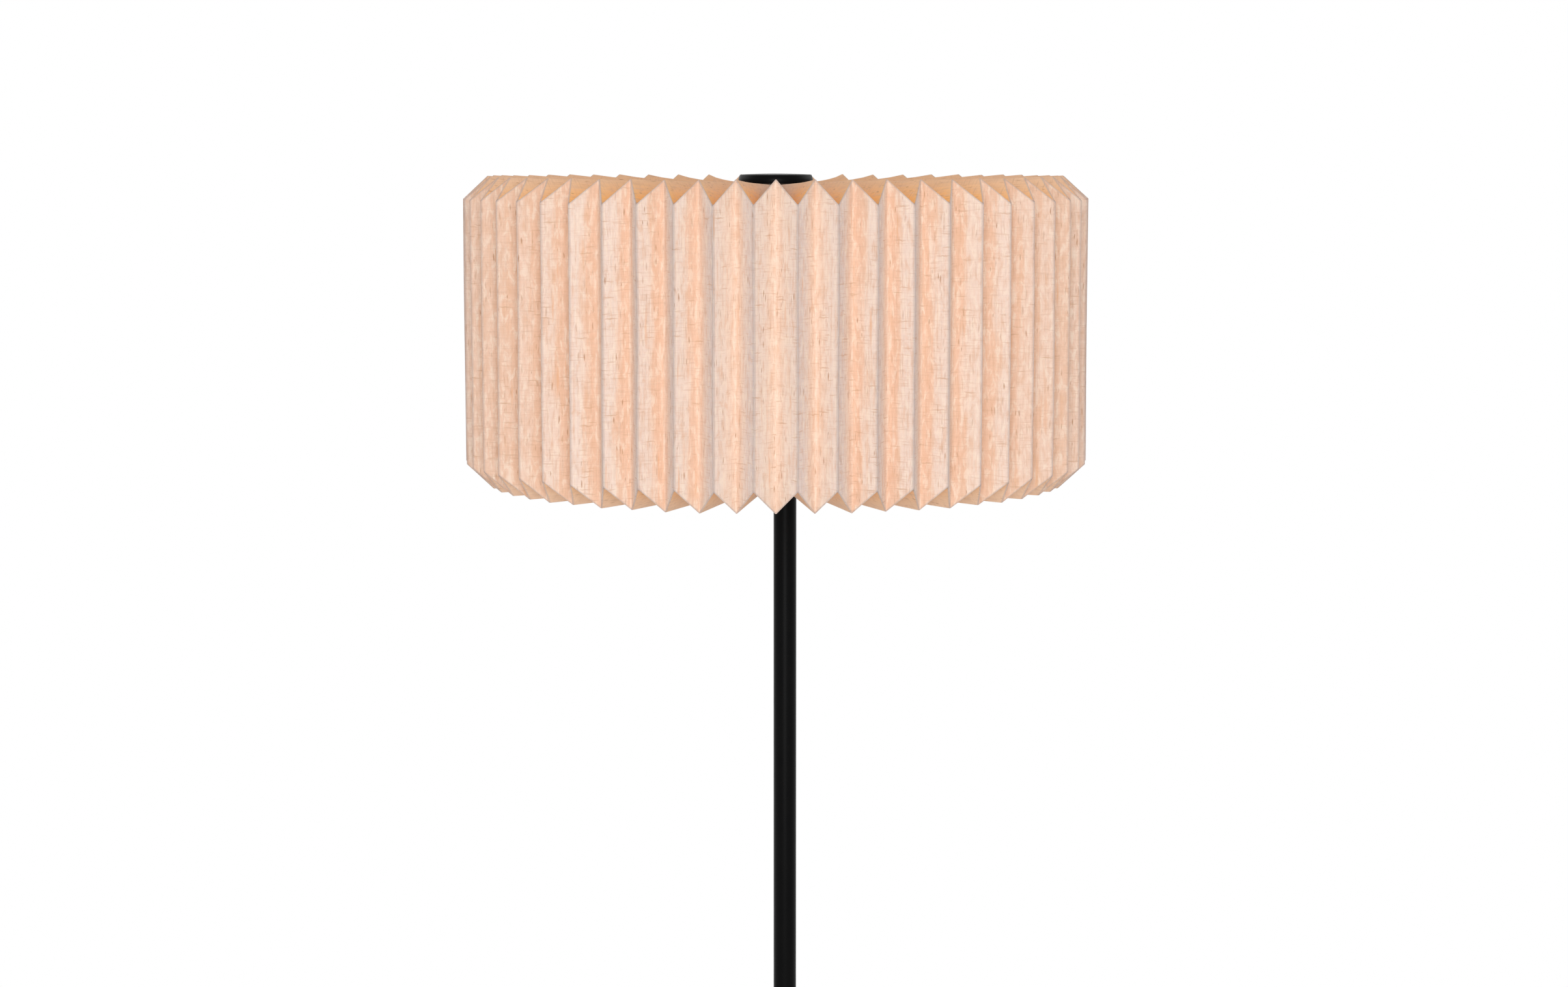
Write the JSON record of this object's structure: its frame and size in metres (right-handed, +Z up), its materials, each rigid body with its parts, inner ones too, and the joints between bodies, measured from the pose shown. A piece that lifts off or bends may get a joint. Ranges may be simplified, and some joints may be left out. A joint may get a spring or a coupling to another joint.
{
  "type": "floor lamp",
  "caption": "Free-standing lamp: weighted disc base, slim black pole, and a pleated drum shade folded in at both ends that hangs on a harp under a flat round cap.",
  "frame": {"origin": "on the floor, under the axis of the shade, which is the middle of the bounding box", "axes": "+Z up along the shade's axis, -Y towards the front that the picture shows, +X to the viewer's right"},
  "size_m": [0.5, 0.5, 1.56],
  "materials": {
    "black_steel": "satin black powder coat",
    "iron": "raw casting",
    "zinc_steel": "zinc plated",
    "brass": "turned",
    "aluminium": "bright pressed",
    "black_plastic": "satin moulded",
    "porcelain": "glazed",
    "frosted_glass": "frosted",
    "soft_pad": "foam rubber",
    "linen_paper": "slubby linen face laminated on paper, matt"
  },
  "bodies": {
    "stand": {"base_pad": "soft_pad", "base_weight": "iron", "base_cover": "black_steel", "base_washer": "zinc_steel", "base_nut": "zinc_steel", "base_stem": "zinc_steel", "lead_bush": "black_plastic", "foot_collar": "black_steel", "pole_lower": "black_steel", "pole_middle": "black_steel", "pole_upper": "black_steel", "pole_sockets": "zinc_steel", "pole_plugs": "zinc_steel", "harp_saddle": "zinc_steel", "harp_lock_nut": "zinc_steel", "harp": "zinc_steel", "harp_stud": "zinc_steel", "holder_cap": "black_plastic", "holder_sleeve": "black_plastic", "holder_liner": "black_plastic", "holder_core": "porcelain", "holder_screw_shell": "brass", "holder_contact": "brass", "terminal_screws": "brass"},
    "ferrule_left": {"ferrule_left": "zinc_steel"},
    "ferrule_right": {"ferrule_right": "zinc_steel"},
    "switch": {"switch_knob": "black_plastic"},
    "bulb": {"bulb_glass": "frosted_glass", "bulb_screw_cap": "aluminium", "bulb_insulator": "black_plastic", "bulb_contact": "zinc_steel"},
    "shade": {"pleated_shade": "linen_paper", "shade_hoop": "zinc_steel", "shade_hub": "black_plastic", "hub_washer": "zinc_steel"},
    "cap": {"shade_cap": "black_steel", "cap_insert": "brass"}
  },
  "joints": [
    {"name": "shade_turn", "type": "hinge", "parent": "stand", "child": "shade", "pos_m": [0, 0, 1.522], "axis": [0, 0, 1], "continuous": true},
    {"name": "cap_off", "type": "slide", "parent": "stand", "child": "cap", "axis": [0, 0, 1], "range_m": [0, 0.03]},
    {"name": "switch_turn", "type": "hinge", "parent": "stand", "child": "switch", "pos_m": [0.0075, -0.03, 1.3401], "axis": [0, -1, 0], "continuous": true},
    {"name": "bulb_out", "type": "slide", "parent": "stand", "child": "bulb", "axis": [0, 0, 1], "range_m": [0, 0.03]},
    {"name": "ferrule_left_up", "type": "slide", "parent": "stand", "child": "ferrule_left", "axis": [0, 0, 1], "range_m": [0, 0.012]},
    {"name": "ferrule_right_up", "type": "slide", "parent": "stand", "child": "ferrule_right", "axis": [0, 0, 1], "range_m": [0, 0.012]}
  ]
}
